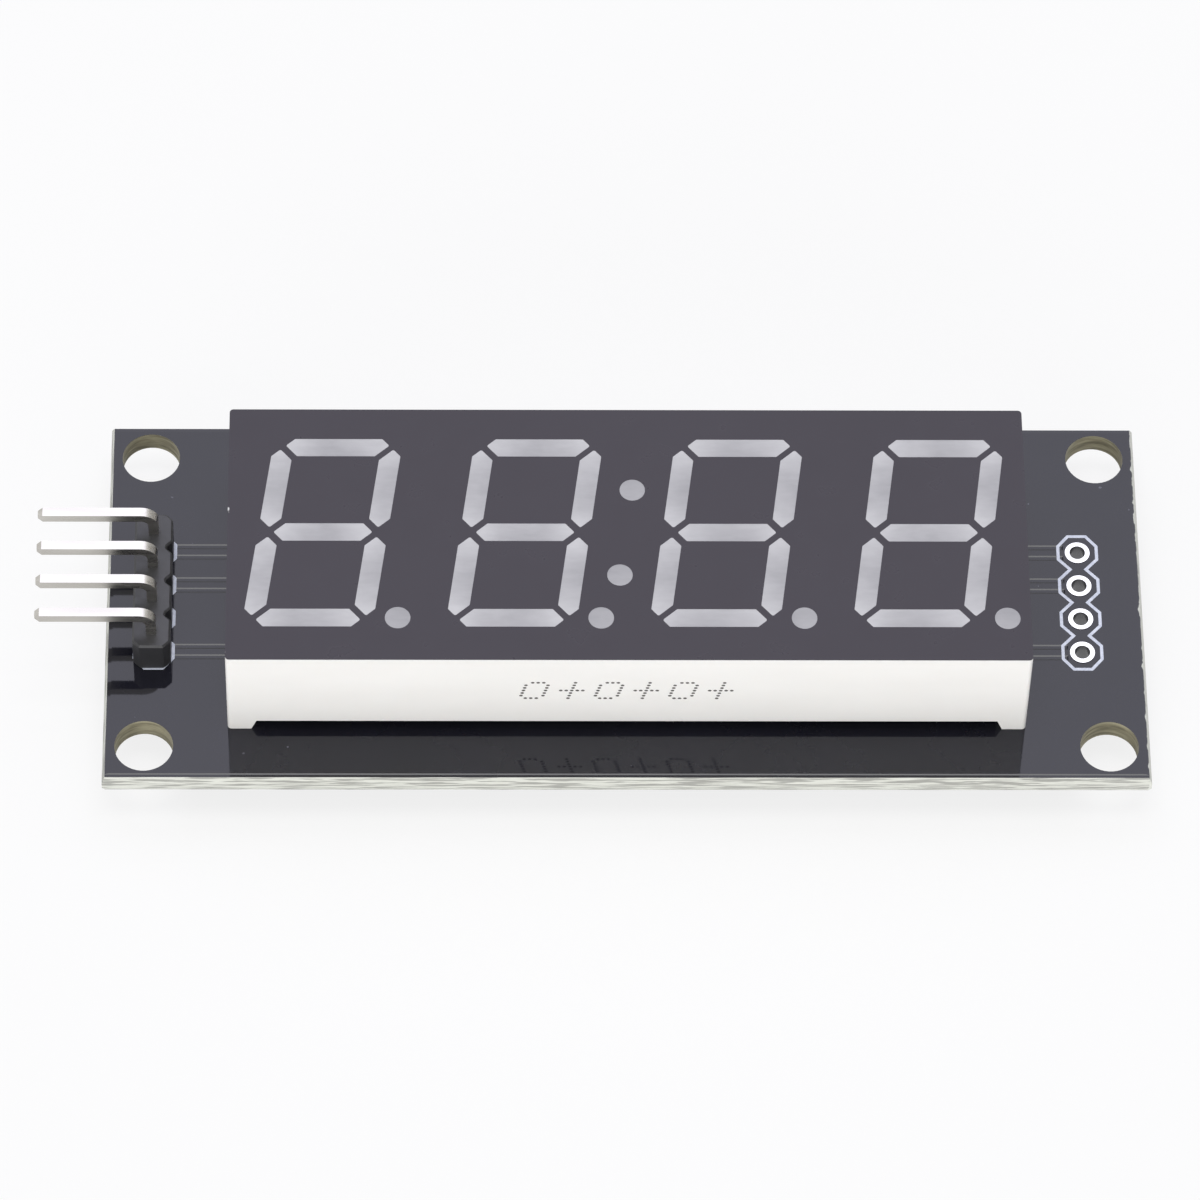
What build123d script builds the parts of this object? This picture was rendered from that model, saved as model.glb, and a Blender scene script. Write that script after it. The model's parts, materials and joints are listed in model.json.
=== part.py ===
from build123d import *
import os
from math import radians, tan

# A four-digit seven segment display module: a black circuit board with a raised four-digit
# display, a bent four-pin input header at its left end, four plated output holes at its right
# end, and the display driver with its small parts soldered to the underside.
# Millimetres. X runs along the digits, Y towards their tops, Z up out of the display's face.
# The origin is the centre of the four mounting holes, on the board's underside.

os.makedirs("parts", exist_ok=True)

# ---------------------------------------------------------------- digits
digit_count = 4
digit_pitch = 12.7
digit_height = 14.22
digit_line_half_width = 3.42        # digit's centre to the middle of an upright segment
digit_shift_x = -0.1                # digit row's centre from the display body's centre
digit_shift_y = 0.1
slant_degrees = 7.5
stroke = 1.32
corner_cut = 1.32                   # 45 degree cut across each outer corner of a digit
mitre_shift = 0.30                  # half of the gap at a mitre, measured along X or Y
middle_bar_shift = 0.31             # middle bar's tip back from the uprights' middle line
upright_tip_shift = 0.355           # upright's inner tip back from the digit's middle line
window_corner_radius = 0.12
point_radius = 0.8
point_shift = 4.72                  # decimal point's centre from its digit's centre
colon_radius = 0.8

# ---------------------------------------------------------------- display body
display_y = -0.2
display_end_allowance = 0.5         # body is this much shorter than its digit pitches
display_width = 19.0
display_height = 7.9                # board's top to the display's face
display_corner_radius = 0.25
foot_height = 0.9
foot_width = 1.5
foot_flare = 0.33                   # foot is this much wider where it meets the body
housing_wall = 1.0
mask_thickness = 0.1
resin_recess = 0.3                  # resin's back face up inside the housing's rim
resin_back = 0.8                    # resin behind the LED board
resin_film = 0.3                    # resin between the LED board and the light wells
led_board_clearance = 0.15
led_board_thickness = 1.0
led_chip_size = 0.35
led_chip_height = 0.15

# ---------------------------------------------------------------- display pins
display_pin_columns = 6
display_pin_pitch = 2.54
display_pin_radius = 0.25
display_pin_inset = 1.88            # pin row's centre line in from the body's long side
display_pin_tail = 1.3              # pin below the board's underside

# ---------------------------------------------------------------- circuit board
board_thickness = 1.5
board_end_margin = 7.85             # board beyond each end of the display
board_side_margin = 4.0             # board beyond each long side of the display
score_depth = 0.5                   # bevel left by the score line, down the edge
score_inset = 0.2                   # and in from the edge
mount_hole_radius = 1.85
mount_end_distance = 2.6            # hole's centre to the board's short edge
mount_side_distance = 2.5           # hole's centre to the board's long edge

# ---------------------------------------------------------------- plated holes
plating_wall = 0.05
land_thickness = 0.05
header_hole_clearance = 0.0475      # plated hole's open radius beyond the square pin's corner
header_land_ring = 0.29             # ring beyond the open hole
display_hole_clearance = 0.15
display_land_ring = 0.35

# ---------------------------------------------------------------- header and output holes
header_count = 4
header_pitch = 2.54
header_row_y = -0.1
header_end_distance = 3.0           # header's centre line to the board's left edge
output_end_distance = 4.0           # output holes' centre line to the board's right edge
header_base_width = 2.4
header_base_height = 2.4
header_base_notch = 0.45            # 45 degree notch between two positions
header_base_corner = 0.2
header_base_edge = 0.12             # bevel round the base's top
pin_size = 0.64
pin_tail = 1.5                      # pin below the board's underside
pin_run_height = 4.2                # middle of the bent run above the board's top
pin_bend_radius = 0.8               # at the middle of the pin
pin_reach = 7.3                     # header's centre line to the pins' tips
pin_tip_width_cut = 0.15
pin_tip_length = 0.3

# ---------------------------------------------------------------- solder
solder_height = 0.8                 # fillet's height on a pin, below its land
solder_land_margin = 0.06
solder_collar = 0.06                # solder left round the pin at the fillet's tip

# ---------------------------------------------------------------- driver and its leads
driver_length = 12.8
driver_width = 7.5
driver_height = 2.3
driver_standoff = 0.15
driver_edge = 0.2
driver_dimple_radius = 0.6
driver_dimple_depth = 0.1
driver_dimple_inset = 1.3
lead_columns = 10
lead_pitch = 1.27
lead_width = 0.42
lead_thickness = 0.25
lead_bend_radius = 0.25
lead_shoulder = 0.45                # level run out of the package
lead_slope = 0.25                   # outward run of the sloping leg
lead_foot = 0.7
lead_land_toe = 0.45                # land beyond the lead's toe
lead_land_heel = 0.3
lead_land_width = 0.6

# ---------------------------------------------------------------- small two-ended parts
# Each is: length, width, height, end cap length.
resistor_size = (1.6, 0.8, 0.45, 0.3)
filter_size = (1.6, 0.8, 0.8, 0.35)
decoupling_size = (2.0, 1.25, 0.9, 0.4)
bulk_size = (3.2, 1.6, 1.5, 0.5)
end_cap_skin = 0.02
small_part_edge = 0.05
land_overhang = 0.4                 # land beyond the end cap
land_side_margin = 0.08
cap_solder_height = 0.35            # solder's height on an end cap
toe_solder_height = 0.18            # solder's height on a lead's toe
wedge_reach = 0.35
wedge_hollow = 0.35                 # hollow's place, in shares of the wedge's reach and height
resistor_points = [(-20.5, 2.4), (-20.5, -2.4)]
filter_points = [(-15.5, 2.4), (-15.5, -2.4)]
decoupling_points = [(12.0, 0.0)]
bulk_points = [(18.5, 0.0)]

# ---------------------------------------------------------------- worked out from the above
display_length = digit_count * digit_pitch - display_end_allowance
board_length = display_length + 2 * board_end_margin
board_width = display_width + 2 * board_side_margin
mount_spacing_x = board_length - 2 * mount_end_distance
mount_spacing_y = board_width - 2 * mount_side_distance
header_x = header_end_distance - board_length / 2
output_x = board_length / 2 - output_end_distance
display_pin_row = display_width - 2 * display_pin_inset
pin_half_diagonal = pin_size / 2 * 2 ** 0.5
header_hole_radius = pin_half_diagonal + header_hole_clearance
header_land_radius = header_hole_radius + header_land_ring
display_hole_radius = display_pin_radius + display_hole_clearance
display_land_radius = display_hole_radius + display_land_ring

board_top = board_thickness
face_level = board_top + display_height
mask_level = face_level - mask_thickness
body_level = board_top + foot_height
resin_level = body_level + resin_recess
led_board_level = resin_level + resin_back
led_board_top = led_board_level + led_board_thickness
well_level = led_board_top + resin_film
cavity_length = display_length - 2 * housing_wall
cavity_width = display_width - 2 * housing_wall

display_centre = (0, display_y)
digit_centres = [
    (digit_shift_x + (place - (digit_count - 1) / 2) * digit_pitch, display_y + digit_shift_y)
    for place in range(digit_count)
]
header_rows = [
    header_row_y + ((header_count - 1) / 2 - place) * header_pitch for place in range(header_count)
]
header_points = [(header_x, row) for row in header_rows]
output_points = [(output_x, row) for row in header_rows]
display_pin_points = [
    ((place - (display_pin_columns - 1) / 2) * display_pin_pitch, display_y + side * display_pin_row / 2)
    for side in (1, -1)
    for place in range(display_pin_columns)
]


# ---------------------------------------------------------------- windows of the display's face
def slanted(centre, points):
    """Lean a digit's upright outline over and put it at its centre."""
    lean = tan(radians(slant_degrees))
    return [(centre[0] + x + y * lean, centre[1] + y) for x, y in points]


def segment_outlines():
    """The seven segments of an upright digit about its own centre."""
    half = stroke / 2
    side = digit_line_half_width
    top = (digit_height - stroke) / 2
    cut = stroke - corner_cut
    end_bar = [
        (side - half - mitre_shift, top - half),
        (side + (cut - mitre_shift) / 2, top + (cut + mitre_shift) / 2),
        (side - half + cut, top + half),
        (-side + half - cut, top + half),
        (-side + (mitre_shift - cut) / 2, top + (cut + mitre_shift) / 2),
        (-side + half + mitre_shift, top - half),
    ]
    upright = [
        (side - half, top - half - mitre_shift),
        (side + (cut + mitre_shift) / 2, top + (cut - mitre_shift) / 2),
        (side + half, top - half + cut),
        (side + half, upright_tip_shift + half),
        (side, upright_tip_shift),
        (side - half, upright_tip_shift + half),
    ]
    tip = side - middle_bar_shift
    middle_bar = [
        (tip, 0),
        (tip - half, half),
        (half - tip, half),
        (-tip, 0),
        (half - tip, -half),
        (tip - half, -half),
    ]
    outlines = [middle_bar]
    for flip in (1, -1):
        outlines.append([(x, flip * y) for x, y in end_bar])
        outlines += [[(hand * x, flip * y) for x, y in upright] for hand in (1, -1)]
    return outlines


def dot_places():
    """Centre and radius of each decimal point and colon dot."""
    foot = -(digit_height - stroke) / 2
    dots = [((x + point_shift, y + foot), point_radius) for x, y in digit_centres]
    middle = (digit_shift_x, display_y + digit_shift_y)
    colon = slanted(middle, [(0, foot / 2), (0, -foot / 2)])
    return dots + [(place, colon_radius) for place in colon]


def windows_at(level):
    """Every segment, decimal point and colon dot of the face, sketched at a level."""
    with BuildSketch(Plane.XY.offset(level)) as windows:
        for centre in digit_centres:
            for outline in segment_outlines():
                with BuildLine():
                    Polyline(*slanted(centre, outline), close=True)
                make_face()
        fillet(windows.vertices(), window_corner_radius)
        for place, radius in dot_places():
            with Locations(place):
                Circle(radius)
    return windows.sketch


def block_at(level, length, width):
    """A rectangle about the display's centre, sketched at a level."""
    with BuildSketch(Plane.XY.offset(level)) as block:
        with Locations(display_centre):
            Rectangle(length, width)
    return block.sketch


def circles_at(level, points, radius):
    """One circle at each point, sketched at a level."""
    with BuildSketch(Plane.XY.offset(level)) as circles:
        with Locations(*points):
            Circle(radius)
    return circles.sketch


def squares_at(level, points, size):
    """One square at each point, sketched at a level."""
    with BuildSketch(Plane.XY.offset(level)) as squares:
        with Locations(*points):
            Rectangle(size, size)
    return squares.sketch


# ---------------------------------------------------------------- circuit board
with BuildPart() as circuit_board:
    with BuildSketch():
        Rectangle(board_length, board_width)
    extrude(amount=board_thickness)
    for face in (Axis.Z, -Axis.Z):
        rim = circuit_board.faces().sort_by(face)[-1]
        chamfer(rim.edges(), length=score_inset, length2=score_depth, reference=rim)
    with BuildSketch():
        with GridLocations(mount_spacing_x, mount_spacing_y, 2, 2):
            Circle(mount_hole_radius)
    extrude(amount=board_thickness, mode=Mode.SUBTRACT)
    header_bores = circles_at(0, header_points + output_points, header_hole_radius + plating_wall)
    extrude(header_bores, amount=board_thickness, mode=Mode.SUBTRACT)
    display_bores = circles_at(0, display_pin_points, display_hole_radius + plating_wall)
    extrude(display_bores, amount=board_thickness, mode=Mode.SUBTRACT)
circuit_board.part.label = "circuit_board"
export_step(circuit_board.part, "parts/circuit_board.step")


# ---------------------------------------------------------------- plated holes
def plated_hole(hole_radius, land_radius):
    """A barrel through the board with a flat ring on each side of it, about the Z axis."""
    outer = hole_radius + plating_wall
    with BuildPart() as plating:
        with BuildSketch(Plane.XZ):
            with BuildLine():
                Polyline(
                    (hole_radius, -land_thickness),
                    (land_radius, -land_thickness),
                    (land_radius, 0),
                    (outer, 0),
                    (outer, board_top),
                    (land_radius, board_top),
                    (land_radius, board_top + land_thickness),
                    (hole_radius, board_top + land_thickness),
                    close=True,
                )
            make_face()
        revolve(axis=Axis.Z)
    return plating.part


header_plating = plated_hole(header_hole_radius, header_land_radius)
display_plating = plated_hole(display_hole_radius, display_land_radius)

with BuildPart() as header_eyelets:
    with Locations(*header_points):
        add(header_plating)
header_eyelets.part.label = "header_eyelets"
export_step(header_eyelets.part, "parts/header_eyelets.step")

with BuildPart() as output_eyelets:
    with Locations(*output_points):
        add(header_plating)
output_eyelets.part.label = "output_eyelets"
export_step(output_eyelets.part, "parts/output_eyelets.step")

with BuildPart() as display_eyelets:
    with Locations(*display_pin_points):
        add(display_plating)
display_eyelets.part.label = "display_eyelets"
export_step(display_eyelets.part, "parts/display_eyelets.step")


# ---------------------------------------------------------------- input header
header_seat = board_top + land_thickness

base_x = header_base_width / 2
base_y = header_pitch / 2
base_position = [
    (base_x, base_y - header_base_notch),
    (base_x - header_base_notch, base_y),
    (header_base_notch - base_x, base_y),
    (-base_x, base_y - header_base_notch),
    (-base_x, header_base_notch - base_y),
    (header_base_notch - base_x, -base_y),
    (base_x - header_base_notch, -base_y),
    (base_x, header_base_notch - base_y),
]

with BuildPart() as header_base:
    with BuildSketch(Plane.XY.offset(header_seat)) as positions:
        with Locations(*header_points):
            Polygon(*base_position, align=None)
        fillet(positions.vertices(), header_base_corner)
    extrude(amount=header_base_height)
    top = header_base.faces().sort_by(Axis.Z)[-1]
    chamfer(top.edges(), length=header_base_edge)
    pin_bores = squares_at(header_seat, header_points, pin_size)
    extrude(pin_bores, amount=header_base_height, mode=Mode.SUBTRACT)
header_base.part.label = "header_base"
export_step(header_base.part, "parts/header_base.step")


def header_pin(row):
    """A square pin up through the board and the base, bent out over the board's left edge."""
    run_level = board_top + pin_run_height
    with BuildPart() as pin:
        with BuildLine():
            FilletPolyline(
                (header_x, row, -pin_tail),
                (header_x, row, run_level),
                (header_x - pin_reach, row, run_level),
                radius=pin_bend_radius,
            )
        with BuildSketch(Plane.XY.offset(-pin_tail)):
            with Locations((header_x, row)):
                Rectangle(pin_size, pin_size)
        sweep()
        for end in (pin.faces().sort_by(Axis.X)[0], pin.faces().sort_by(Axis.Z)[0]):
            chamfer(end.edges(), length=pin_tip_width_cut, length2=pin_tip_length, reference=end)
    return pin


for number, row in enumerate(header_rows, start=1):
    pin = header_pin(row)
    pin.part.label = f"header_pin_{number}"
    export_step(pin.part, f"parts/header_pin_{number}.step")


# ---------------------------------------------------------------- solder round the pins
joint_foot = -land_thickness - solder_height
joint_height = header_seat - joint_foot


def solder_joint(hole_radius, land_radius, pin_radius):
    """Solder that fills a plated hole and tapers down the pin, about the Z axis."""
    skirt = land_radius - solder_land_margin
    collar = pin_radius + solder_collar
    waist = ((skirt + 2 * collar) / 3, -land_thickness - solder_height / 3)
    with BuildPart() as joint:
        with BuildSketch(Plane.XZ):
            with BuildLine():
                Polyline(
                    (collar, joint_foot),
                    (0, joint_foot),
                    (0, header_seat),
                    (hole_radius, header_seat),
                    (hole_radius, -land_thickness),
                    (skirt, -land_thickness),
                )
                ThreePointArc((skirt, -land_thickness), waist, (collar, joint_foot))
            make_face()
        revolve(axis=Axis.Z)
    return joint.part


header_joint = solder_joint(header_hole_radius, header_land_radius, pin_half_diagonal)
display_joint = solder_joint(display_hole_radius, display_land_radius, display_pin_radius)
with BuildPart() as header_solder:
    with Locations(*header_points):
        add(header_joint)
    extrude(squares_at(joint_foot, header_points, pin_size), amount=joint_height, mode=Mode.SUBTRACT)
header_solder.part.label = "header_solder"
export_step(header_solder.part, "parts/header_solder.step")

with BuildPart() as display_solder:
    with Locations(*display_pin_points):
        add(display_joint)
    pin_bores = circles_at(joint_foot, display_pin_points, display_pin_radius)
    extrude(pin_bores, amount=joint_height, mode=Mode.SUBTRACT)
display_solder.part.label = "display_solder"
export_step(display_solder.part, "parts/display_solder.step")


# ---------------------------------------------------------------- display housing
def foot_profile(hand, side):
    """A corner foot seen along Y, wider towards its top on the inner side."""
    outer_x = hand * display_length / 2
    outer_y = display_y + side * display_width / 2
    with BuildSketch(Plane.XZ.offset(-outer_y)) as profile:
        with BuildLine():
            Polyline(
                (outer_x, board_top),
                (outer_x - hand * foot_width, board_top),
                (outer_x - hand * (foot_width + foot_flare), body_level),
                (outer_x, body_level),
                close=True,
            )
        make_face()
    return profile.sketch


with BuildPart() as display_housing:
    extrude(block_at(body_level, display_length, display_width), amount=mask_level - body_level)
    for hand in (1, -1):
        for side in (1, -1):
            extrude(foot_profile(hand, side), amount=side * foot_width)
    corners = display_housing.edges().filter_by(Axis.Z).group_by(SortBy.LENGTH)[-1]
    fillet(corners, display_corner_radius)
    cavity = block_at(body_level, cavity_length, cavity_width)
    extrude(cavity, amount=well_level - body_level, mode=Mode.SUBTRACT)
    extrude(windows_at(well_level), amount=mask_level - well_level, mode=Mode.SUBTRACT)
display_housing.part.label = "display_housing"
export_step(display_housing.part, "parts/display_housing.step")

with BuildPart() as face_mask:
    with BuildSketch(Plane.XY.offset(mask_level)):
        with Locations(display_centre):
            RectangleRounded(display_length, display_width, display_corner_radius)
    extrude(amount=mask_thickness)
    extrude(windows_at(mask_level), amount=mask_thickness, mode=Mode.SUBTRACT)
face_mask.part.label = "face_mask"
export_step(face_mask.part, "parts/face_mask.step")

# ---------------------------------------------------------------- LED board, chips and pins
led_points = [
    place
    for centre in digit_centres
    for outline in segment_outlines()
    for place in slanted(centre, [(
        sum(x for x, y in outline) / len(outline),
        sum(y for x, y in outline) / len(outline),
    )])
] + [place for place, radius in dot_places()]

led_board_outline = block_at(
    led_board_level,
    cavity_length - 2 * led_board_clearance,
    cavity_width - 2 * led_board_clearance,
)

with BuildPart() as led_board:
    extrude(led_board_outline, amount=led_board_thickness)
    pin_bores = circles_at(led_board_level, display_pin_points, display_pin_radius)
    extrude(pin_bores, amount=led_board_thickness, mode=Mode.SUBTRACT)
led_board.part.label = "led_board"
export_step(led_board.part, "parts/led_board.step")

with BuildPart() as led_chips:
    extrude(squares_at(led_board_top, led_points, led_chip_size), amount=led_chip_height)
led_chips.part.label = "led_chips"
export_step(led_chips.part, "parts/led_chips.step")

with BuildPart() as display_pins:
    pin_tails = circles_at(-display_pin_tail, display_pin_points, display_pin_radius)
    extrude(pin_tails, amount=led_board_top + display_pin_tail)
display_pins.part.label = "display_pins"
export_step(display_pins.part, "parts/display_pins.step")

# The resin is one casting: it closes the back, wraps the LED board and fills every light well.
with BuildPart() as resin_fill:
    extrude(block_at(resin_level, cavity_length, cavity_width), amount=well_level - resin_level)
    extrude(windows_at(well_level), amount=face_level - well_level)
    extrude(led_board_outline, amount=led_board_thickness, mode=Mode.SUBTRACT)
    chip_pockets = squares_at(led_board_top, led_points, led_chip_size)
    extrude(chip_pockets, amount=led_chip_height, mode=Mode.SUBTRACT)
    pin_bores = circles_at(resin_level, display_pin_points, display_pin_radius)
    extrude(pin_bores, amount=resin_back, mode=Mode.SUBTRACT)
resin_fill.part.label = "resin_fill"
export_step(resin_fill.part, "parts/resin_fill.step")

# ---------------------------------------------------------------- driver on the underside
lead_seat = -land_thickness
driver_top = -land_thickness - driver_standoff
driver_base = driver_top - driver_height
lead_exit = driver_top - driver_height / 2
lead_span = driver_width / 2 + lead_shoulder + lead_slope + lead_foot
lead_columns_x = [
    (place - (lead_columns - 1) / 2) * lead_pitch for place in range(lead_columns)
]

with BuildPart() as driver_chip:
    with BuildSketch(Plane.XY.offset(driver_base)):
        Rectangle(driver_length, driver_width)
    extrude(amount=driver_height)
    chamfer(driver_chip.edges(), length=driver_edge)
    with BuildSketch(Plane.XY.offset(driver_base)):
        with Locations((driver_dimple_inset - driver_length / 2, driver_dimple_inset - driver_width / 2)):
            Circle(driver_dimple_radius)
    extrude(amount=driver_dimple_depth, mode=Mode.SUBTRACT)
driver_chip.part.label = "driver_chip"
export_step(driver_chip.part, "parts/driver_chip.step")


def lead_profile(column_x, side):
    """One bent lead from the package's side to its land, seen along X."""
    foot_middle = lead_seat - lead_thickness / 2
    shoulder_y = driver_width / 2 + lead_shoulder
    with BuildSketch(Plane.YZ.offset(column_x - lead_width / 2)) as profile:
        with BuildLine():
            FilletPolyline(
                (side * driver_width / 2, lead_exit),
                (side * shoulder_y, lead_exit),
                (side * (shoulder_y + lead_slope), foot_middle),
                (side * lead_span, foot_middle),
                radius=lead_bend_radius,
            )
        trace(line_width=lead_thickness)
    return profile.sketch


with BuildPart() as driver_leads:
    for column_x in lead_columns_x:
        for side in (1, -1):
            extrude(lead_profile(column_x, side), amount=lead_width)
driver_leads.part.label = "driver_leads"
export_step(driver_leads.part, "parts/driver_leads.step")


# ---------------------------------------------------------------- small parts on the underside
def small_body(size, points, label):
    """Ceramic bodies of two-ended parts, between their end caps."""
    length, width, height, cap = size
    with BuildPart() as bodies:
        with BuildSketch(Plane.XY.offset(lead_seat - height)):
            with Locations(*points):
                Rectangle(length - 2 * cap, width)
        extrude(amount=height)
    bodies.part.label = label
    export_step(bodies.part, f"parts/{label}.step")


def small_ends(size, points, label):
    """Metal end caps of two-ended parts, a skin's thickness proud of the body."""
    length, width, height, cap = size
    ends = [(x + hand * (length - cap) / 2, y) for x, y in points for hand in (1, -1)]
    with BuildPart() as caps:
        with BuildSketch(Plane.XY.offset(lead_seat - height - end_cap_skin)):
            with Locations(*ends):
                Rectangle(cap, width + 2 * end_cap_skin)
        extrude(amount=height + end_cap_skin)
        fillet(caps.edges().filter_by(Axis.X), small_part_edge)
        fillet(caps.faces().sort_by(Axis.Z)[: len(ends)].edges().filter_by(Axis.Y), small_part_edge)
    caps.part.label = label
    export_step(caps.part, f"parts/{label}.step")


small_parts = [
    (resistor_size, resistor_points, "pullup_resistors", "pullup_resistor_ends"),
    (filter_size, filter_points, "filter_capacitors", "filter_capacitor_ends"),
    (decoupling_size, decoupling_points, "decoupling_capacitor", "decoupling_capacitor_ends"),
    (bulk_size, bulk_points, "bulk_capacitor", "bulk_capacitor_ends"),
]
for size, points, body_label, ends_label in small_parts:
    small_body(size, points, body_label)
    small_ends(size, points, ends_label)

# ---------------------------------------------------------------- lands and solder for them
with BuildPart() as surface_lands:
    with BuildSketch(Plane.XY.offset(lead_seat)):
        land_length = lead_foot + lead_land_heel + lead_land_toe
        land_y = lead_span + lead_land_toe - land_length / 2
        with Locations(*[(x, side * land_y) for x in lead_columns_x for side in (1, -1)]):
            Rectangle(lead_land_width, land_length)
        for size, points, body_label, ends_label in small_parts:
            length, width, height, cap = size
            reach = length / 2 + land_overhang
            land_x = reach - (cap + land_overhang) / 2
            with Locations(*[(x + hand * land_x, y) for x, y in points for hand in (1, -1)]):
                Rectangle(cap + land_overhang, width + 2 * land_side_margin)
    extrude(amount=land_thickness)
surface_lands.part.label = "surface_lands"
export_step(surface_lands.part, "parts/surface_lands.step")


def solder_wedge(toe, outward, reach, height, width):
    """A concave wedge of solder at a toe on its land, seen across the outward direction."""
    out_x, out_y = outward
    corner = (toe[0] - out_y * width / 2, toe[1] + out_x * width / 2, lead_seat)
    hollow = (reach * wedge_hollow, -height * wedge_hollow)
    with BuildSketch(Plane(corner, x_dir=(out_x, out_y, 0), z_dir=(out_y, -out_x, 0))) as wedge:
        Polygon((reach, 0), (0, 0), (0, -height), hollow, align=None)
    return wedge.sketch


with BuildPart() as surface_solder:
    for size, points, body_label, ends_label in small_parts:
        length, width, height, cap = size
        for x, y in points:
            for hand in (1, -1):
                toe = (x + hand * length / 2, y)
                wedge = solder_wedge(toe, (hand, 0), wedge_reach, cap_solder_height, width)
                extrude(wedge, amount=width)
    for column_x in lead_columns_x:
        for side in (1, -1):
            toe = (column_x, side * lead_span)
            wedge = solder_wedge(toe, (0, side), wedge_reach, toe_solder_height, lead_width)
            extrude(wedge, amount=lead_width)
surface_solder.part.label = "surface_solder"
export_step(surface_solder.part, "parts/surface_solder.step")
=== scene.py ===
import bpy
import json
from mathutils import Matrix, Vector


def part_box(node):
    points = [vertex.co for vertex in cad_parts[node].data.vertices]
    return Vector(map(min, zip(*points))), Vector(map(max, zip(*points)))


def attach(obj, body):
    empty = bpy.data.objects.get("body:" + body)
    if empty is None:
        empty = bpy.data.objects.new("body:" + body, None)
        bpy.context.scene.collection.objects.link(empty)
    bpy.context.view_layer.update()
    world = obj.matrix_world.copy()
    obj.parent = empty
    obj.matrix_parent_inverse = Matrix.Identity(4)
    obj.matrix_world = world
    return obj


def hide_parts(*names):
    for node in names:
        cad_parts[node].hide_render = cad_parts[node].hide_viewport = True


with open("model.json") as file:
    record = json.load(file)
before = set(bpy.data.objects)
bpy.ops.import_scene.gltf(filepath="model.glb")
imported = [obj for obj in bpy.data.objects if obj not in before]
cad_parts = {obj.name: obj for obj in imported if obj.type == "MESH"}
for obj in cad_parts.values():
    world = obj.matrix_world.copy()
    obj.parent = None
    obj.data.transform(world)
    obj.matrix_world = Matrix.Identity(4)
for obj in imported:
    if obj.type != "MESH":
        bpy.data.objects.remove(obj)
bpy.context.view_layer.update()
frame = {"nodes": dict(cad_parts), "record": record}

import json
import math

import bmesh
import bpy
from mathutils import Matrix, Vector

MM = 0.001
nodes = frame["nodes"]


# ---------------------------------------------------------------- places read from the frame (mm)
def box_mm(node):
    """Lowest and highest corner of a CAD node, in millimetres."""
    low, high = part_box(node)
    return Vector(low) / MM, Vector(high) / MM


board_low, board_high = box_mm("circuit_board")
housing_low, housing_high = box_mm("display_housing")
header_low, header_high = box_mm("header_eyelets")
output_low, output_high = box_mm("output_eyelets")
floor_level = box_mm("driver_chip")[0].z

board_top = board_high.z
board_under = board_low.z
header_pitch = 2.54
header_x = (header_low.x + header_high.x) / 2
output_x = (output_low.x + output_high.x) / 2
row_middle = (header_low.y + header_high.y) / 2
rows = [row_middle + (1.5 - place) * header_pitch for place in range(4)]
ring_radius = (output_high.x - output_low.x) / 2


# ---------------------------------------------------------------- camera, at the photograph's angle
def make_camera():
    """Angles are in degrees; the distance and the point looked at are in mm."""
    azimuth, elevation, roll = (math.radians(a) for a in (-2.056, 56.297, 1.783))
    distance, sideways, along = 495.74, -1.604, 0.056
    focal_in_frame_widths = 6.48416667
    back = Vector((
        math.sin(azimuth) * math.cos(elevation),
        -math.cos(azimuth) * math.cos(elevation),
        math.sin(elevation),
    ))
    right = Vector((math.cos(azimuth), math.sin(azimuth), 0))
    up = back.cross(right)
    rolled_right = math.cos(roll) * right + math.sin(roll) * up
    rolled_up = back.cross(rolled_right)
    data = bpy.data.cameras.new("camera")
    data.sensor_width = 36.0
    data.lens = data.sensor_width * focal_in_frame_widths
    data.clip_start, data.clip_end = 0.01, 20.0
    camera = bpy.data.objects.new("camera", data)
    bpy.context.scene.collection.objects.link(camera)
    turn = Matrix((rolled_right, rolled_up, back)).transposed().to_4x4()
    target = Vector((sideways, along, board_top)) * MM
    camera.matrix_world = Matrix.Translation(target + back * distance * MM) @ turn
    bpy.context.scene.camera = camera


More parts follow.
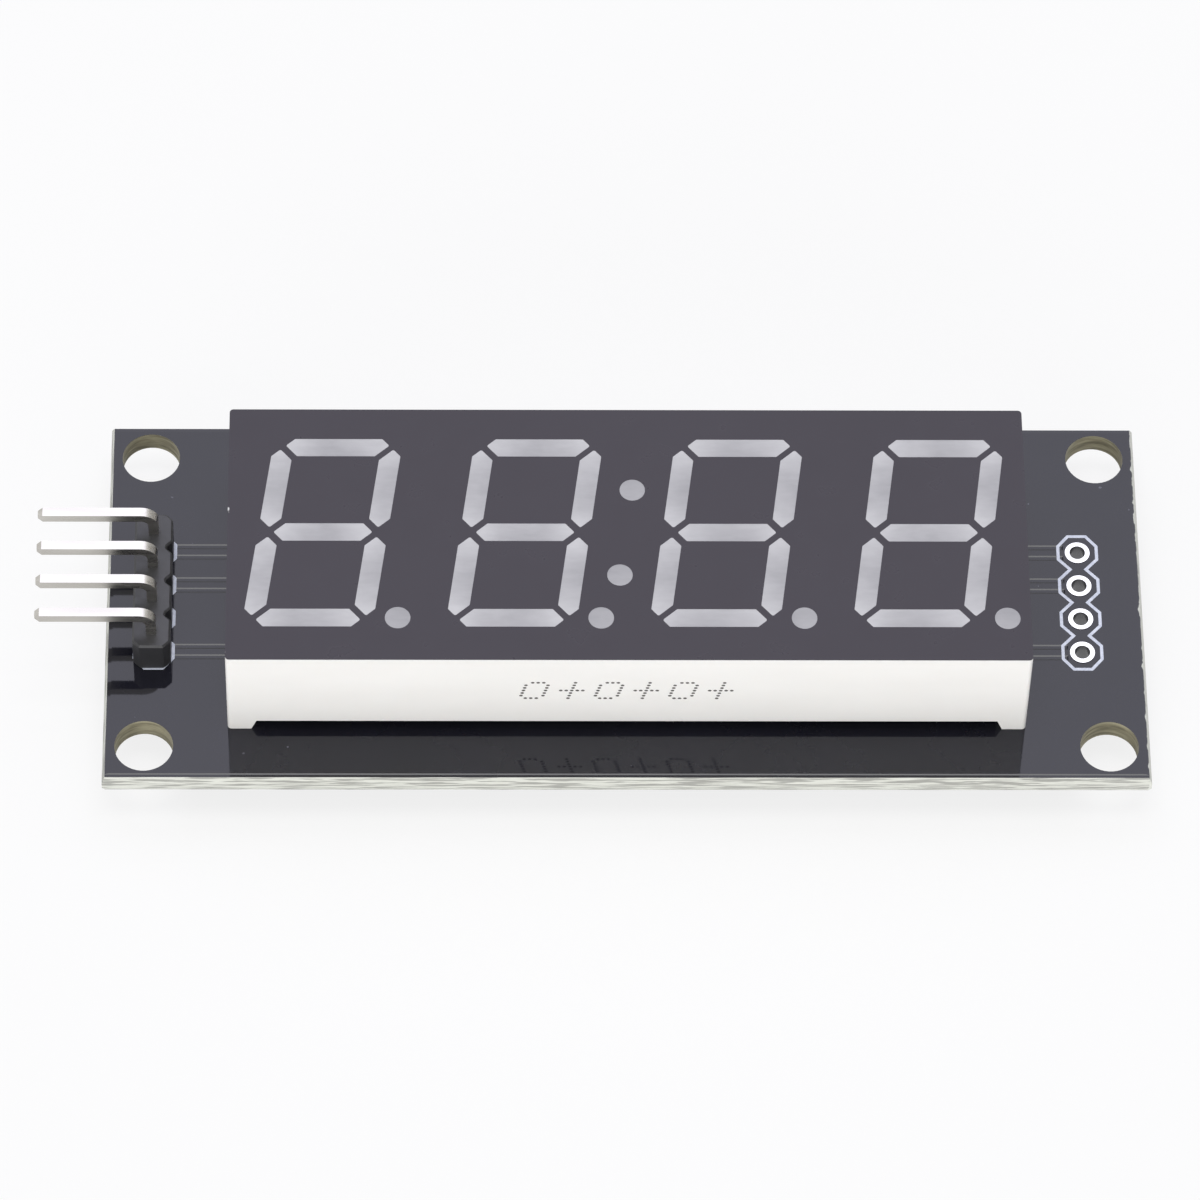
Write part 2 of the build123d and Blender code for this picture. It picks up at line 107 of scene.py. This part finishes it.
# ---------------------------------------------------------------- node helpers
class Nodes:
    """A material's node tree with short ways to add and join nodes."""

    def __init__(self, name):
        self.material = bpy.data.materials.new(name)
        self.material.use_nodes = True
        self.tree = self.material.node_tree
        self.shader = self.tree.nodes["Principled BSDF"]
        self.where = self.add("ShaderNodeTexCoord").outputs["Object"]

    def add(self, kind, inputs=None, **settings):
        node = self.tree.nodes.new(kind)
        for key, value in settings.items():
            setattr(node, key, value)
        for key, value in (inputs or {}).items():
            self.put(node.inputs[key], value)
        return node

    def put(self, socket, value):
        if isinstance(value, bpy.types.NodeSocket):
            self.tree.links.new(value, socket)
        else:
            socket.default_value = value

    def set(self, **sockets):
        for key, value in sockets.items():
            self.put(self.shader.inputs[key.replace("_", " ")], value)

    def math(self, operation, *values, clamp=False):
        node = self.add("ShaderNodeMath", operation=operation, use_clamp=clamp)
        for socket, value in zip(node.inputs, values):
            self.put(socket, value)
        return node.outputs[0]

    def noise(self, per_mm, detail=3.0, stretch=(1, 1, 1)):
        """Noise with a number of waves to the millimetre, in 0 to 1."""
        mapped = self.add("ShaderNodeMapping", {"Vector": self.where, "Scale": stretch})
        return self.add(
            "ShaderNodeTexNoise",
            {"Vector": mapped.outputs[0], "Scale": per_mm / MM, "Detail": detail},
        ).outputs["Fac"]

    def ramp(self, value, low, high, out_low=0.0, out_high=1.0):
        return self.add(
            "ShaderNodeMapRange",
            {0: value, 1: low, 2: high, 3: out_low, 4: out_high},
        ).outputs[0]

    def blend(self, factor, first, second):
        """Colour between two colours."""
        node = self.add("ShaderNodeMix", data_type="RGBA")
        self.put(node.inputs[0], factor)
        self.put(node.inputs[6], first)
        self.put(node.inputs[7], second)
        return node.outputs[2]

    def bump(self, height, strength, distance_mm=0.02):
        return self.add(
            "ShaderNodeBump",
            {"Height": height, "Strength": strength, "Distance": distance_mm * MM},
        ).outputs[0]

    def normal(self):
        """The surface's own direction, as separate X, Y and Z."""
        geometry = self.add("ShaderNodeNewGeometry")
        return self.add("ShaderNodeSeparateXYZ", {0: geometry.outputs["Normal"]}).outputs

    def place(self):
        """The place on the object in metres, as separate X, Y and Z."""
        return self.add("ShaderNodeSeparateXYZ", {0: self.where}).outputs


def rgb(*parts):
    return (*parts, 1.0)


# ---------------------------------------------------------------- materials
well_map = "along_well"             # the resin's map along and across each well
edge_band = (0.45, 0.35)            # in from the outline, where hole walls turn into outer edges
chip_band_x = (0.17, 0.13)          # in from the +X edge, where the mask is chipped off
chip_band_y = (0.06, 0.03)          # the same at the +Y edge
chip_wander = 0.5                   # how far the chipped border wanders
chip_middle = 0.42                  # the noise level at which it doesn't wander


def near_border(n, value, border, band):
    """Rises from 0 to 1 between two distances in mm inside a border."""
    far, close = band
    return n.ramp(value, (border - far) * MM, (border - close) * MM)


def board_material():
    """Near-black glossy solder mask on both faces, pale torn glass epoxy round the edges."""
    n = Nodes("board")
    tilt = n.math("ABSOLUTE", n.normal()[2])
    face = n.ramp(tilt, 0.55, 0.75)
    mottle = n.noise(0.25, 4)
    dark = n.blend(mottle, rgb(0.009, 0.009, 0.014), rgb(0.013, 0.013, 0.021))
    dust = n.ramp(n.noise(2.2, 1), 0.80, 0.83)
    mask = n.blend(dust, dark, rgb(0.10, 0.10, 0.13))
    fibre = n.noise(1.0, 3, (0.6, 0.6, 5.0))
    torn = n.ramp(n.noise(0.9, 4, (0.4, 0.4, 9.0)), 0.44, 0.53)
    pale = n.blend(fibre, rgb(0.60, 0.61, 0.54), rgb(0.78, 0.79, 0.73))
    edge = n.blend(torn, rgb(0.36, 0.36, 0.33), pale)
    wall = n.blend(n.ramp(fibre, 0.35, 0.65), rgb(0.15, 0.135, 0.08), rgb(0.38, 0.35, 0.23))
    place = n.place()
    outer_x = near_border(n, n.math("ABSOLUTE", place[0]), board_high.x, edge_band)
    outer_y = near_border(n, n.math("ABSOLUTE", place[1]), board_high.y, edge_band)
    side = n.blend(n.math("MAXIMUM", outer_x, outer_y), wall, edge)
    uneven = n.math("SUBTRACT", n.noise(1.3, 4), chip_middle)
    wander = n.math("MULTIPLY", uneven, chip_wander * MM)
    chipped_x = near_border(n, n.math("ADD", place[0], wander), board_high.x, chip_band_x)
    chipped_y = near_border(n, n.math("ADD", place[1], wander), board_high.y, chip_band_y)
    chipped = n.math("MAXIMUM", chipped_x, chipped_y)
    covered = n.math("MULTIPLY", face, n.math("SUBTRACT", 1.0, chipped))
    n.set(Base_Color=n.blend(covered, n.blend(chipped, side, pale), mask))
    bare_roughness, mask_roughness = 0.62, 0.055
    n.set(Roughness=n.ramp(covered, 0.0, 1.0, bare_roughness, mask_roughness))
    n.set(IOR=1.47)
    ripple = n.math("MULTIPLY", n.noise(0.35, 2), 0.10)
    rough = n.math("MULTIPLY", n.math("SUBTRACT", 1.0, face), n.noise(4.0, 4, (0.5, 0.5, 2.0)))
    n.set(Normal=n.bump(n.math("ADD", ripple, rough), 0.5, 0.03))
    return n.material


def ink_material():
    """White printed ink, a little uneven and cool in tone."""
    n = Nodes("silkscreen")
    cover = n.ramp(n.noise(3.0, 4), 0.3, 0.7)
    n.set(Base_Color=n.blend(cover, rgb(0.60, 0.64, 0.76), rgb(0.80, 0.84, 0.95)))
    n.set(Roughness=0.45, Normal=n.bump(n.noise(6.0, 3), 0.25))
    return n.material


def print_material():
    """Thin grey-brown ink of the dotted print on the housing's wall."""
    n = Nodes("wall_print")
    n.set(Base_Color=n.blend(n.noise(4.0, 3), rgb(0.05, 0.045, 0.04), rgb(0.13, 0.12, 0.11)))
    n.set(Roughness=0.5)
    return n.material


def tin_material(name, dark, light, roughness, grain=(1, 1, 1), waves=1.2, painted_barrel_shade=False):
    """Tin or solder with drawn or cast grain; on request, painted shade darkens the vertical walls
    inside the plated holes.
    """
    n = Nodes(name)
    patch = n.noise(waves, 4, grain)
    metal = n.blend(n.ramp(patch, 0.3, 0.7), dark, light)
    if painted_barrel_shade:
        # painted shade: vertical walls inside the plated holes turn dark grey, where shade falls
        barrel_shade = n.ramp(n.math("ABSOLUTE", n.normal()[2]), 0.6, 0.2)
        metal = n.blend(barrel_shade, metal, rgb(0.16, 0.16, 0.165))
    n.set(Base_Color=metal, Metallic=1.0)
    n.set(Roughness=n.ramp(n.noise(waves * 2, 3, grain), 0.3, 0.7, roughness * 0.8, roughness * 1.3))
    n.set(Normal=n.bump(n.noise(waves * 5, 3, grain), 0.12))
    return n.material


def housing_material():
    """Moulded white plastic, satin, faintly warm, with fine flow marks."""
    n = Nodes("white_housing")
    flow = n.noise(0.12, 4, (1, 1, 3))
    n.set(Base_Color=n.blend(flow, rgb(0.86, 0.845, 0.81), rgb(0.92, 0.907, 0.875)))
    n.set(Roughness=n.ramp(n.noise(1.5, 3), 0.3, 0.7, 0.34, 0.44))
    n.set(Subsurface_Weight=0.12, Subsurface_Radius=(1.0, 0.9, 0.8), Subsurface_Scale=0.6 * MM)
    n.set(Normal=n.bump(n.noise(2.5, 4), 0.10))
    return n.material


def face_material():
    """Black ink on the top, bare white plastic on the sides and in specks at the left edge."""
    n = Nodes("black_face")
    flat = n.ramp(n.normal()[2], 0.5, 0.9)
    speck = n.ramp(n.noise(0.9, 3), 0.63, 0.66)
    place = n.place()
    speck_start, speck_full = 0.12, 0.08
    near_edge = n.ramp(
        place[0], (housing_low.x + speck_start) * MM, (housing_low.x + speck_full) * MM
    )
    ink = n.blend(n.noise(0.08, 3), rgb(0.016, 0.011, 0.018), rgb(0.022, 0.016, 0.025))
    inked = n.blend(n.math("MULTIPLY", speck, near_edge), ink, rgb(0.7, 0.7, 0.68))
    n.set(Base_Color=n.blend(flat, rgb(0.85, 0.845, 0.82), inked))
    n.set(Roughness=n.ramp(n.noise(0.6, 3), 0.3, 0.7, 0.27, 0.32), IOR=1.44)
    return n.material


def resin_material():
    """Milky cast resin: painted light makes it pale at the light wells' ends, near the white walls,
    and painted shade makes it greyer over their middles, above the dark LED board.
    """
    n = Nodes("milky_resin")
    end_light_gain, lean_gain, shaded_middle_tone = 0.62, -0.12, 0.36
    well = n.add("ShaderNodeUVMap", uv_map=well_map).outputs[0]
    along = n.add("ShaderNodeSeparateXYZ", {0: well}).outputs
    # painted light and shade: lighter towards each bar's ends, greyer in its middle
    ends = n.math("POWER", n.math("ABSOLUTE", along[0]), 1.6)
    cloud = n.ramp(n.noise(0.45, 2), 0.3, 0.7, -0.10, 0.10)
    streak = n.ramp(n.noise(0.8, 2, (1, 3, 1)), 0.3, 0.7, -0.08, 0.08)
    lean = n.math("MULTIPLY", along[1], lean_gain)
    uneven = n.math("ADD", cloud, n.math("ADD", streak, lean))
    tone = n.math("ADD", n.math("MULTIPLY", ends, end_light_gain), uneven)
    tone = n.math("ADD", tone, shaded_middle_tone, clamp=True)
    n.set(Base_Color=n.blend(tone, rgb(0.345, 0.34, 0.355), rgb(0.63, 0.625, 0.635)))
    n.set(Roughness=0.3, IOR=1.5)
    n.set(Subsurface_Weight=0.2, Subsurface_Radius=(1.0, 1.0, 1.0), Subsurface_Scale=0.3 * MM)
    n.set(Normal=n.bump(n.noise(1.5, 2), 0.05))
    return n.material


def plastic_material(name, dark, light, roughness, grain_per_mm=4.0, strength=0.2):
    """Moulded black plastic or ceramic with a fine grain."""
    n = Nodes(name)
    n.set(Base_Color=n.blend(n.noise(0.8, 4), dark, light))
    n.set(Roughness=n.ramp(n.noise(2.0, 3), 0.3, 0.7, roughness * 0.85, roughness * 1.2))
    n.set(Normal=n.bump(n.noise(grain_per_mm, 4), strength))
    return n.material


# ---------------------------------------------------------------- mesh helpers
def new_object(name, mesh, material):
    piece = bpy.data.objects.new(name, mesh)
    bpy.context.scene.collection.objects.link(piece)
    piece.data.materials.clear()
    piece.data.materials.append(material)
    return piece


def finish_piece(piece):
    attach(piece, "root")


def prism(bm, outline, low, high, inset=0.0):
    """A straight-sided solid from an outline in mm; its low face is smaller by the inset."""
    middle = sum((Vector(p) for p in outline), Vector((0, 0))) / len(outline)
    lower = []
    for p in outline:
        out = Vector(p) - middle
        shrink_x = math.copysign(min(inset, abs(out.x)), out.x)
        shrink_y = math.copysign(min(inset, abs(out.y)), out.y)
        lower.append(Vector(p) - Vector((shrink_x, shrink_y)))
    bottom = [bm.verts.new((p.x * MM, p.y * MM, low * MM)) for p in lower]
    top = [bm.verts.new((p[0] * MM, p[1] * MM, high * MM)) for p in outline]
    bm.faces.new(bottom[::-1])
    bm.faces.new(top)
    count = len(outline)
    for i in range(count):
        j = (i + 1) % count
        bm.faces.new((bottom[i], bottom[j], top[j], top[i]))


def rectangle(x0, x1, y0, y1):
    return [(x0, y0), (x1, y0), (x1, y1), (x0, y1)]


def mesh_from(bm, name):
    bmesh.ops.recalc_face_normals(bm, faces=bm.faces)
    mesh = bpy.data.meshes.new(name)
    bm.to_mesh(mesh)
    bm.free()
    return mesh


# ---------------------------------------------------------------- board with its copper relief
groove_depth = 0.03
groove_slope = 0.10                 # the mask falls gently over the copper's edge
groove_lip = 0.004                  # the cutter stands this far out of the board
groove_width = 0.4
groove_end_gap = 0.1                # between a groove and the ring that it runs to
trace_half = 0.2
signal_places = (0, 1, 3)           # the rows whose traces show
pour_margin = 0.27                  # from the board's outline to the copper pour
ledge_width = 0.2
ledge_slope = 0.35
cutter_beyond = 1.0                 # the ledge cutter reaches this far past the outline


def add_trace_grooves(bm, level, up):
    """Clearances on each side of the signal traces, from ring to ring."""
    deep, shallow = level - up * groove_depth, level + up * groove_lip
    start = header_x + ring_radius + groove_end_gap
    end = output_x - ring_radius - groove_end_gap
    for place in signal_places:
        y = rows[place]
        for side in (1, -1):
            near, far = side * trace_half, side * (trace_half + groove_width)
            y0, y1 = sorted((y + near, y + far))
            prism(bm, rectangle(start, end, y0, y1), deep, shallow, groove_slope)


def board_piece(material):
    """The CAD board's own shape with the copper layer's small steps cut into its mask."""
    board = new_object("board_body", nodes["circuit_board"].data.copy(), material)
    bm = bmesh.new()
    add_trace_grooves(bm, board_top, 1)
    add_trace_grooves(bm, board_under, -1)
    edge = pour_margin + ledge_width
    x1, y1 = board_high.x - edge, board_high.y - edge
    x2, y2 = board_high.x + cutter_beyond, board_high.y + cutter_beyond
    for level, up in ((board_top, 1), (board_under, -1)):
        deep, shallow = level - up * groove_depth, level + up * groove_lip
        for outline, slope in (
            (rectangle(-x2, x2, y1, y2), ledge_slope),
            (rectangle(-x2, x2, -y2, -y1), groove_slope),
            (rectangle(x1, x2, -y2, y2), ledge_slope),
            (rectangle(-x2, -x1, -y2, y2), ledge_slope),
        ):
            prism(bm, outline, deep, shallow, slope)
    cutter = new_object("groove_cutter", mesh_from(bm, "groove_cutter"), material)
    cut = board.modifiers.new("grooves", "BOOLEAN")
    cut.operation, cut.object, cut.solver = "DIFFERENCE", cutter, "EXACT"
    cut.use_self = True
    bpy.context.view_layer.update()
    shaped = board.evaluated_get(bpy.context.evaluated_depsgraph_get())
    mesh = bpy.data.meshes.new_from_object(shaped)
    board.modifiers.clear()
    board.data = mesh
    bpy.data.objects.remove(cutter)
    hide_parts("circuit_board")
    finish_piece(board)


# ---------------------------------------------------------------- resin with a map along each well
well_top_depth = 0.3                # vertices this near the housing's top are on a well's top
weld_distance = 0.0005
long_well_ratio = 1.3               # a well longer than this times its width is a bar, else a dot
dot_across, dot_lean = 1.1, 0.7     # the map's level on a dot and its change from front to back


def islands(vertices):
    """Vertices in groups that edges join, each group in the mesh's own order."""
    left = set(vertices)
    while left:
        found, edge = set(), [left.pop()]
        while edge:
            vertex = edge.pop()
            found.add(vertex)
            near = [e.other_vert(vertex) for e in vertex.link_edges]
            edge += [v for v in near if v in left]
            left.difference_update(near)
        yield sorted(found, key=lambda vertex: vertex.index)


def resin_piece(material):
    """The CAD resin's own shape, mapped from -1 to 1 along and across each bar's well."""
    mesh = nodes["resin_fill"].data.copy()
    bm = bmesh.new()
    bm.from_mesh(mesh)
    bmesh.ops.remove_doubles(bm, verts=bm.verts, dist=weld_distance * MM)
    bm.verts.index_update()
    for face in bm.faces:
        face.smooth = False
    loop_map = bm.loops.layers.uv.new(well_map)
    tops = [v for v in bm.verts if v.co.z > (housing_high.z - well_top_depth) * MM]
    for found in list(islands(tops)):
        inside = set(found)
        flat = [Vector((v.co.x, v.co.y)) for v in found]
        middle = sum(flat, Vector((0, 0))) / len(flat)
        ends = max(((a - b) for a in flat for b in flat), key=lambda gap: gap.length)
        axis = ends.normalized()
        if axis.x + axis.y < 0:
            axis = -axis
        side = Vector((axis.y, -axis.x))
        half = max(abs((p - middle).dot(axis)) for p in flat)
        wide = max(abs((p - middle).dot(side)) for p in flat)
        bar = half > long_well_ratio * wide
        for vertex in found:
            away = Vector((vertex.co.x, vertex.co.y)) - middle
            along = away.dot(axis) / half if bar else 0.0
            across = away.dot(side) / wide if bar else dot_across + dot_lean * away.y / half
            for loop in vertex.link_loops:
                if all(v in inside for v in loop.face.verts):
                    loop[loop_map].uv = (along, across)
    bm.to_mesh(mesh)
    bm.free()
    piece = new_object("resin_body", mesh, material)
    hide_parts("resin_fill")
    finish_piece(piece)


# ---------------------------------------------------------------- silkscreen
ink_width = 0.2
ink_height = 0.015
octagon_side = 1.23                 # from a hole's centre to the line beside it
header_chain_shift = 0.08           # the header's outline sits a little towards the display
octagon_flat = 0.5                  # half of the line's straight stretch beside a hole
octagon_neck = 0.5                  # half of the gap between the lines, midway between holes
octagon_end = 0.57                  # half of the straight stretch past the last hole
under_reach = (1.0, 0.35)           # from a part underneath to its outline
under_line_share = 0.8              # its line is finer than the others by this share
pair_span = 3.0                     # a node longer than this along Y is two parts
pair_part_length = 0.8


def chain_outline(x):
    """The chained octagons' outline round the four holes of a row, going round once."""
    half = header_pitch / 2
    side = [(octagon_end, rows[0] + half)]
    for place, y in enumerate(rows):
        side += [(octagon_side, y + octagon_flat), (octagon_side, y - octagon_flat)]
        last = place == len(rows) - 1
        side.append((octagon_end if last else octagon_neck, y - half))
    return [(x + dx, y) for dx, y in side] + [(x - dx, y) for dx, y in reversed(side)]


def moved_outline(points, distance):
    """A closed outline moved sideways by a distance, with sharp corners kept."""
    moved = []
    for i, point in enumerate(points):
        here = Vector(point)
        before = (here - Vector(points[i - 1])).normalized()
        after = (Vector(points[(i + 1) % len(points)]) - here).normalized()
        across = (Vector((before.y, -before.x)) + Vector((after.y, -after.x))).normalized()
        stretch = distance / across.dot(Vector((after.y, -after.x)))
        moved.append(tuple(here + across * stretch))
    return moved


def outline_strip(bm, inner, outer, low, high):
    """A closed strip between two outlines of as many points."""
    loops = [
        [bm.verts.new((p[0] * MM, p[1] * MM, level * MM)) for p in points]
        for points, level in ((inner, low), (outer, low), (outer, high), (inner, high))
    ]
    count = len(inner)
    for a in range(4):
        b = (a + 1) % 4
        for i in range(count):
            j = (i + 1) % count
            bm.faces.new((loops[a][i], loops[a][j], loops[b][j], loops[b][i]))


def silkscreen_piece(material):
    """Octagons round each header and output hole, and outlines of the parts underneath."""
    bm = bmesh.new()
    half_line = ink_width / 2
    for x in (header_x + header_chain_shift, output_x):
        chain = chain_outline(x)
        inner, outer = moved_outline(chain, half_line), moved_outline(chain, -half_line)
        outline_strip(bm, inner, outer, board_top, board_top + ink_height)
    line = ink_width * under_line_share
    for node in ("pullup_resistors", "filter_capacitors", "decoupling_capacitor", "bulk_capacitor"):
        low, high = box_mm(node)
        frame_boxes = [(low.x, high.x, low.y, high.y)]
        if high.y - low.y > pair_span:
            frame_boxes = [
                (low.x, high.x, low.y, low.y + pair_part_length),
                (low.x, high.x, high.y - pair_part_length, high.y),
            ]
        for x0, x1, y0, y1 in frame_boxes:
            reach_x, reach_y = under_reach
            inner = rectangle(x0 - reach_x, x1 + reach_x, y0 - reach_y, y1 + reach_y)
            outer = rectangle(
                x0 - reach_x - line, x1 + reach_x + line, y0 - reach_y - line, y1 + reach_y + line
            )
            outline_strip(bm, inner, outer, board_under - ink_height, board_under)
    piece = new_object("silkscreen", mesh_from(bm, "silkscreen"), material)
    finish_piece(piece)


# ---------------------------------------------------------------- dotted print on the front wall
def print_piece(material):
    """Six small dotted shapes in a row, each a plain ring or cross of dots."""
    dot, step, slant = 0.095, 0.30, 0.25
    dot_stretch, column_stretch, line_stretch = 1.25, 1.15, 0.98
    count, spacing, start_x, base_z = 6, 2.33, -6.1, board_top + 3.55
    ink_proud = 0.006
    corners = 8
    cells = [(column, line) for column in range(5) for line in range(7)]
    ring_cells = [(c, r) for c, r in cells if (c in (0, 4)) != (r in (0, 6))]
    cross_cells = [(c, r) for c, r in cells if c == 2 or r == 3]
    wall = housing_low.y
    bm = bmesh.new()
    for place in range(count):
        for column, line in ring_cells if place % 2 == 0 else cross_cells:
            x = start_x + place * spacing + (column - 2) * step * column_stretch + line * step * slant
            z = base_z + line * step * line_stretch
            front = [
                bm.verts.new((
                    (x + dot * dot_stretch * math.cos(2 * math.pi * i / corners)) * MM,
                    (wall - ink_proud) * MM,
                    (z + dot * math.sin(2 * math.pi * i / corners)) * MM,
                ))
                for i in range(corners)
            ]
            back = [bm.verts.new((v.co.x, wall * MM, v.co.z)) for v in front]
            bm.faces.new(front)
            bm.faces.new(back[::-1])
            for i in range(corners):
                j = (i + 1) % corners
                bm.faces.new((front[i], back[i], back[j], front[j]))
    piece = new_object("wall_print", mesh_from(bm, "wall_print"), material)
    finish_piece(piece)


# ---------------------------------------------------------------- pins' drawn edges
pin_edge_round = 0.07
pin_edge_angle = 50                 # degrees; sharper edges than this are rounded


def round_pins():
    for place in range(1, 5):
        pin = nodes[f"header_pin_{place}"]
        rounded = pin.modifiers.new("drawn_edges", "BEVEL")
        rounded.width = pin_edge_round * MM
        rounded.segments = 2
        rounded.limit_method = "ANGLE"
        rounded.angle_limit = math.radians(pin_edge_angle)


# ---------------------------------------------------------------- stage
floor_half = 3000.0
floor_glow = 0.80                   # share of the floor's look that is plain white


def stage_floor():
    """A pale floor that keeps the object's shadow and is clear from below."""
    n = Nodes("floor")
    n.set(Base_Color=rgb(0.95, 0.95, 0.95), Roughness=0.9)
    glow = n.add("ShaderNodeEmission", {"Color": rgb(1, 1, 1), "Strength": 1.0})
    path = n.add("ShaderNodeLightPath")
    seen = n.math("MAXIMUM", path.outputs["Is Camera Ray"], path.outputs["Is Transmission Ray"])
    seen = n.math("MAXIMUM", seen, path.outputs["Is Glossy Ray"])
    mix = n.add("ShaderNodeMixShader", {0: n.math("MULTIPLY", seen, floor_glow)})
    n.put(mix.inputs[1], n.shader.outputs[0])
    n.put(mix.inputs[2], glow.outputs[0])
    behind = n.add("ShaderNodeNewGeometry").outputs["Backfacing"]
    hide = n.math("MULTIPLY", behind, path.outputs["Is Camera Ray"])
    clear = n.add("ShaderNodeMixShader", {0: hide})
    n.put(clear.inputs[1], mix.outputs[0])
    n.put(clear.inputs[2], n.add("ShaderNodeBsdfTransparent").outputs[0])
    n.put(n.tree.nodes["Material Output"].inputs[0], clear.outputs[0])
    bm = bmesh.new()
    outline = rectangle(-floor_half, floor_half, -floor_half, floor_half)
    bm.faces.new([bm.verts.new((x * MM, y * MM, floor_level * MM)) for x, y in outline])
    floor = new_object("floor", mesh_from(bm, "floor"), n.material)


def softbox(name, azimuth, elevation, distance, width, height, radiance, colour=(1, 1, 1)):
    """A rectangular lamp facing the object; angles in degrees, sizes in metres."""
    data = bpy.data.lights.new(name, "AREA")
    data.shape = "RECTANGLE"
    data.size, data.size_y = width, height
    data.energy = radiance * math.pi * width * height
    data.color = colour
    lamp = bpy.data.objects.new(name, data)
    a, e = math.radians(azimuth), math.radians(elevation)
    out = Vector((math.sin(a) * math.cos(e), -math.cos(a) * math.cos(e), math.sin(e)))
    lamp.location = out * distance
    lamp.rotation_mode = "QUATERNION"
    lamp.rotation_quaternion = out.to_track_quat("Z", "Y")
    bpy.context.scene.collection.objects.link(lamp)


world_level = 0.35
world_seen_level = 1.0              # where the world is seen directly or in a reflection


def make_lights():
    """An even white world, and lamps behind, above and in front."""
    world = bpy.data.worlds.new("world")
    bpy.context.scene.world = world
    world.use_nodes = True
    tree = world.node_tree
    background = tree.nodes["Background"]
    background.inputs["Color"].default_value = rgb(1, 1, 1)
    path = tree.nodes.new("ShaderNodeLightPath")
    level = tree.nodes.new("ShaderNodeMapRange")
    level.inputs[3].default_value = world_level
    level.inputs[4].default_value = world_seen_level
    seen = tree.nodes.new("ShaderNodeMath")
    seen.operation = "MAXIMUM"
    tree.links.new(path.outputs["Is Camera Ray"], seen.inputs[0])
    tree.links.new(path.outputs["Is Glossy Ray"], seen.inputs[1])
    tree.links.new(seen.outputs[0], level.inputs[0])
    tree.links.new(level.outputs[0], background.inputs["Strength"])
    softbox("back_softbox", 180, 54, 0.9, 1.0, 0.6, 1.42, (0.80, 0.80, 1.0))
    softbox("top_softbox", 0, 88, 0.8, 0.5, 0.28, 4.0)
    softbox("front_softbox", -12, 15, 1.0, 1.4, 0.5, 3.0)


# ---------------------------------------------------------------- making
make_camera()
materials = {
    "board": board_material(),
    "silkscreen": ink_material(),
    "wall_print": print_material(),
    # painted shade darkens the vertical walls inside the plated holes
    "tinned_copper": tin_material(
        "tinned_copper", rgb(0.70, 0.70, 0.68), rgb(0.92, 0.91, 0.88), 0.28, painted_barrel_shade=True
    ),
    "tinned_pin": tin_material(
        "tinned_pin", rgb(0.47, 0.452, 0.42), rgb(0.58, 0.562, 0.525), 0.28, (0.15, 1, 1)
    ),
    "solder": tin_material("solder", rgb(0.62, 0.63, 0.64), rgb(0.86, 0.86, 0.86), 0.2, waves=0.9),
    "end_cap": tin_material("end_cap", rgb(0.62, 0.62, 0.62), rgb(0.84, 0.84, 0.83), 0.35, waves=2.0),
    "header_plastic": plastic_material(
        "header_plastic", rgb(0.022, 0.022, 0.024), rgb(0.036, 0.036, 0.039), 0.33
    ),
    "white_housing": housing_material(),
    "black_face": face_material(),
    "milky_resin": resin_material(),
    "led_board": plastic_material("led_board", rgb(0.66, 0.65, 0.58), rgb(0.80, 0.79, 0.73), 0.5),
    "led_chip": plastic_material("led_chip", rgb(0.55, 0.38, 0.16), rgb(0.72, 0.55, 0.3), 0.25),
    "chip_package": plastic_material(
        "chip_package", rgb(0.018, 0.018, 0.019), rgb(0.032, 0.032, 0.034), 0.5, 6.0, 0.45
    ),
    "resistor_body": plastic_material(
        "resistor_body", rgb(0.012, 0.012, 0.014), rgb(0.025, 0.025, 0.028), 0.25
    ),
    "capacitor_body": plastic_material(
        "capacitor_body", rgb(0.33, 0.22, 0.14), rgb(0.47, 0.34, 0.23), 0.38
    ),
}
for entry in frame["record"]["subparts"]:
    node = nodes[entry["node"]]
    node.data.materials.clear()
    node.data.materials.append(materials[entry["material_slot"]])

board_piece(materials["board"])
silkscreen_piece(materials["silkscreen"])
print_piece(materials["wall_print"])
resin_piece(materials["milky_resin"])
round_pins()
stage_floor()
make_lights()

bpy.context.scene.view_settings.view_transform = "Standard"
